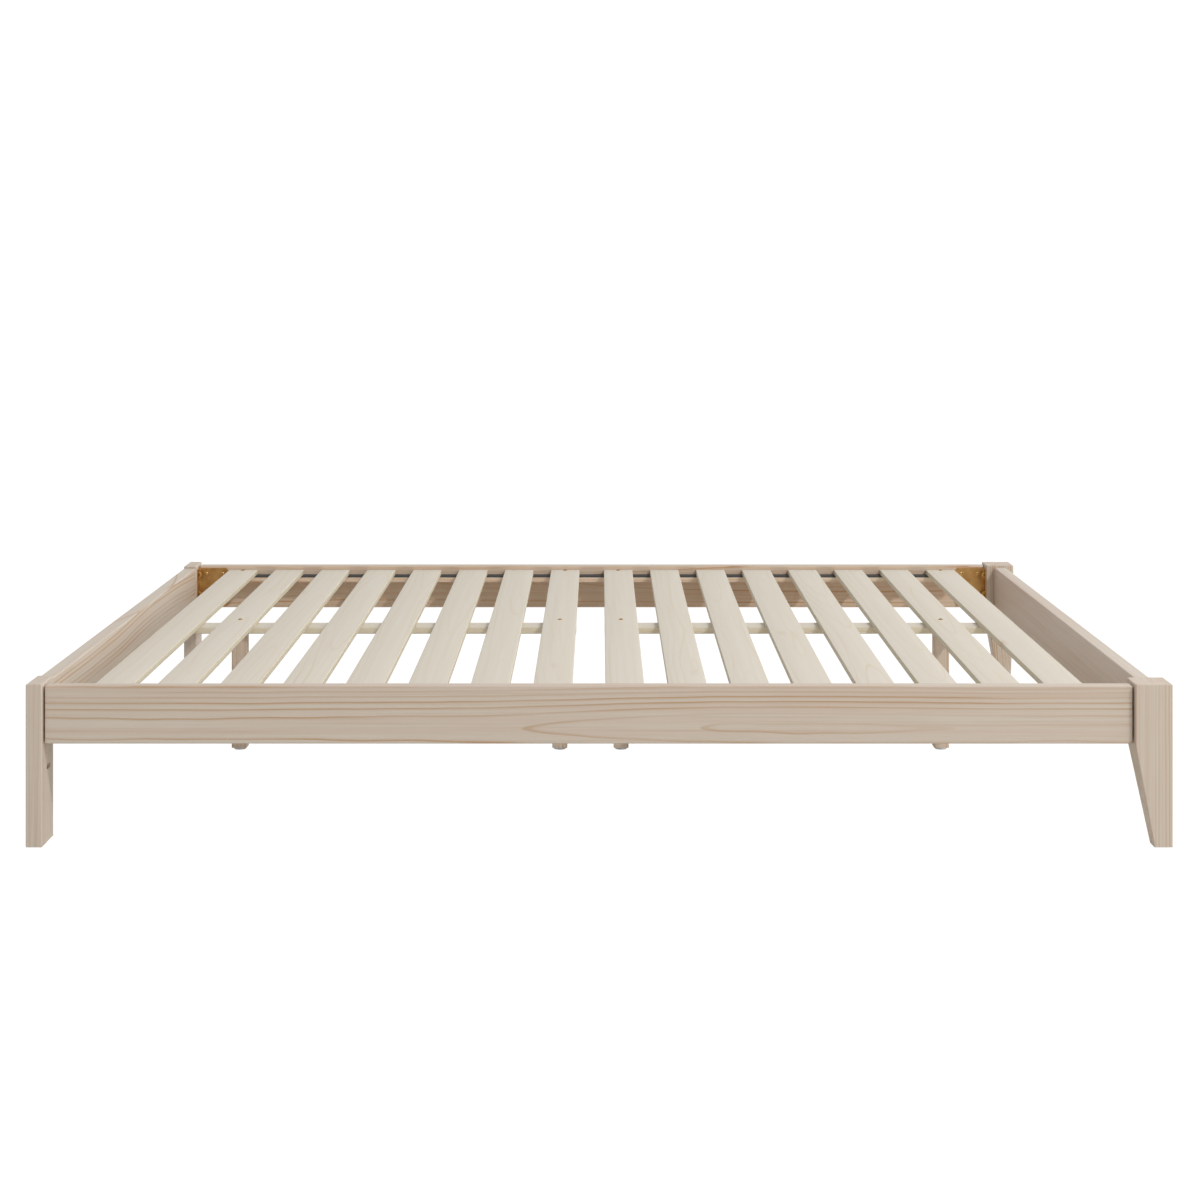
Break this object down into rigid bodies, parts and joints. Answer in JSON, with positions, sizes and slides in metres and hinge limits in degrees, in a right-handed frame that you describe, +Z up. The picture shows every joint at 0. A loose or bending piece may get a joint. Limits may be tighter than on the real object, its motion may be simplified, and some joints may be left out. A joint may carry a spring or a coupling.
{
  "type": "bed frame",
  "caption": "Low wooden platform bed frame: plank head legs and tapered foot legs joined by rails and corner brackets, a slatted deck on ledges, centre beams on support legs.",
  "frame": {"origin": "on the floor below the middle of the frame", "axes": "+X runs from the head end to the foot end, -Y is the front side, +Z is up"},
  "size_m": [2.12, 1.625, 0.301],
  "materials": {
    "driftwood_pine": "pine with a pale grey-brown wash, satin",
    "bare_pine": "planed pale pine, unfinished",
    "yellow_zinc_steel": "yellow zinc plating",
    "zinc_steel": "bright zinc plating",
    "grey_rubber": "dark grey, matt",
    "grey_plastic": "moulded, fine texture",
    "dowel_beech": "plain turned beech"
  },
  "bodies": {
    "frame": {"back_ledge": "driftwood_pine", "back_ledge_strip": "grey_rubber", "back_side_rail": "driftwood_pine", "bolt_washers": "yellow_zinc_steel", "bracket_bolts": "yellow_zinc_steel", "bracket_screws": "yellow_zinc_steel", "centre_beam_foot": "bare_pine", "centre_beam_head": "bare_pine", "corner_bracket_foot_back": "yellow_zinc_steel", "corner_bracket_foot_front": "yellow_zinc_steel", "corner_bracket_head_back": "yellow_zinc_steel", "corner_bracket_head_front": "yellow_zinc_steel", "end_rail_dowels": "dowel_beech", "foot_leg_back": "driftwood_pine", "foot_leg_front": "driftwood_pine", "foot_rail": "driftwood_pine", "front_ledge": "driftwood_pine", "front_ledge_strip": "grey_rubber", "front_side_rail": "driftwood_pine", "glide_inserts": "zinc_steel", "head_leg_back": "driftwood_pine", "head_leg_front": "driftwood_pine", "head_rail": "driftwood_pine", "leg_inserts": "zinc_steel", "slat_01": "bare_pine", "slat_02": "bare_pine", "slat_03": "bare_pine", "slat_04": "bare_pine", "slat_05": "bare_pine", "slat_06": "bare_pine", "slat_07": "bare_pine", "slat_08": "bare_pine", "slat_09": "bare_pine", "slat_10": "bare_pine", "slat_11": "bare_pine", "slat_12": "bare_pine", "slat_13": "bare_pine", "slat_14": "bare_pine", "slat_15": "bare_pine", "slat_16": "bare_pine", "slat_end_screws": "yellow_zinc_steel", "support_leg_1": "driftwood_pine", "support_leg_2": "driftwood_pine", "support_leg_3": "driftwood_pine", "support_leg_4": "driftwood_pine", "support_leg_screws": "yellow_zinc_steel"},
    "glide_1": {"levelling_glide_1": "grey_plastic", "glide_stud_1": "zinc_steel"},
    "glide_2": {"levelling_glide_2": "grey_plastic", "glide_stud_2": "zinc_steel"},
    "glide_3": {"levelling_glide_3": "grey_plastic", "glide_stud_3": "zinc_steel"},
    "glide_4": {"levelling_glide_4": "grey_plastic", "glide_stud_4": "zinc_steel"}
  },
  "joints": [
    {"name": "glide_1_screw_out", "type": "slide", "parent": "frame", "child": "glide_1", "axis": [0, 0, 1], "range_m": [-0.012, 0]},
    {"name": "glide_2_screw_out", "type": "slide", "parent": "frame", "child": "glide_2", "axis": [0, 0, 1], "range_m": [-0.012, 0]},
    {"name": "glide_3_screw_out", "type": "slide", "parent": "frame", "child": "glide_3", "axis": [0, 0, 1], "range_m": [-0.012, 0]},
    {"name": "glide_4_screw_out", "type": "slide", "parent": "frame", "child": "glide_4", "axis": [0, 0, 1], "range_m": [-0.012, 0]}
  ]
}
